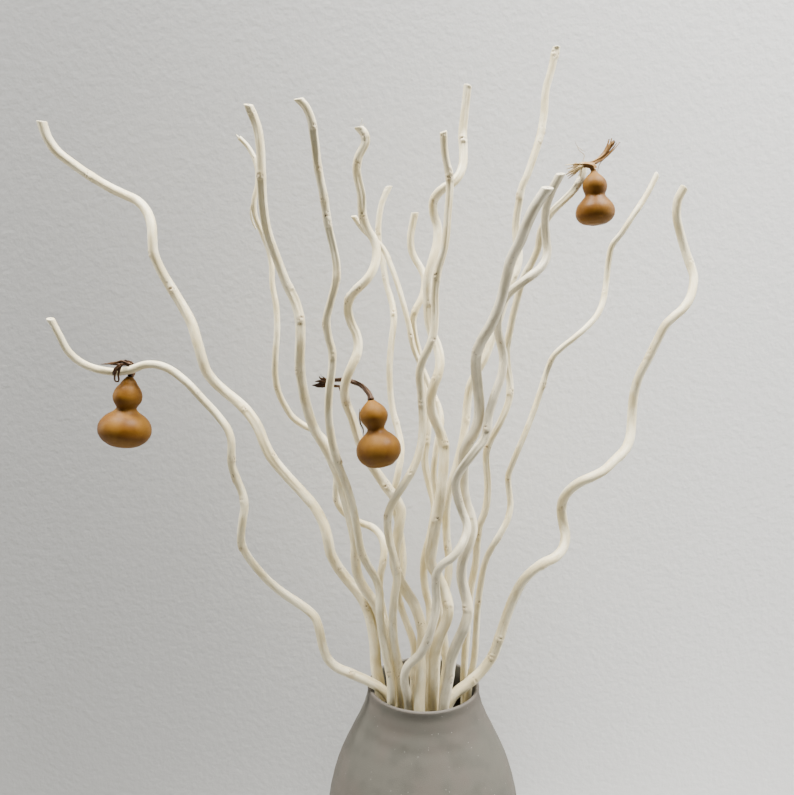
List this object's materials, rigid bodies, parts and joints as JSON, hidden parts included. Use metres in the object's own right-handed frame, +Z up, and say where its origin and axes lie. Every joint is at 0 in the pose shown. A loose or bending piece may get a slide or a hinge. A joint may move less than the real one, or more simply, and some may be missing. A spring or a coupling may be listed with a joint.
{
  "type": "willow stems in a vase",
  "caption": "Tall curly peeled willow stems fanning out of a matt round-bodied vase, with small dried bottle gourds hooked on them",
  "frame": {"origin": "middle of the vase's underside, on the surface that it stands on", "axes": "+Z up, -Y the front, +X to the right seen from the front"},
  "size_m": [0.6252, 0.2259, 0.8754],
  "materials": {
    "stoneware": "matt unglazed stoneware, warm grey, faintly clouded",
    "peeled_willow": "peeled and bleached willow, ivory, satin, with small brown specks",
    "greyed_willow": "peeled willow weathered to a light grey, satin",
    "gourd_skin": "dried gourd skin, ochre brown, satin, mottled, with a dark brown stalk"
  },
  "bodies": {
    "root": {"vase": "stoneware", "stem_right_front": "greyed_willow", "stem_right_twisting": "greyed_willow", "stem_left_front": "peeled_willow", "stem_middle_front": "peeled_willow", "stem_middle_gourd": "peeled_willow", "stem_middle_tall": "peeled_willow", "stem_left_gourd": "peeled_willow", "stem_left_tall": "peeled_willow", "stem_far_right": "peeled_willow", "stem_right_thin": "peeled_willow", "stem_right_gourd": "peeled_willow", "stem_middle_slanting": "peeled_willow", "stem_middle_thin": "peeled_willow", "stem_middle_short": "peeled_willow", "stem_tallest": "peeled_willow", "stem_left_forked": "peeled_willow", "stem_far_left": "peeled_willow", "gourd_left": "gourd_skin", "gourd_middle": "gourd_skin", "gourd_right": "gourd_skin"}
  },
  "joints": []
}
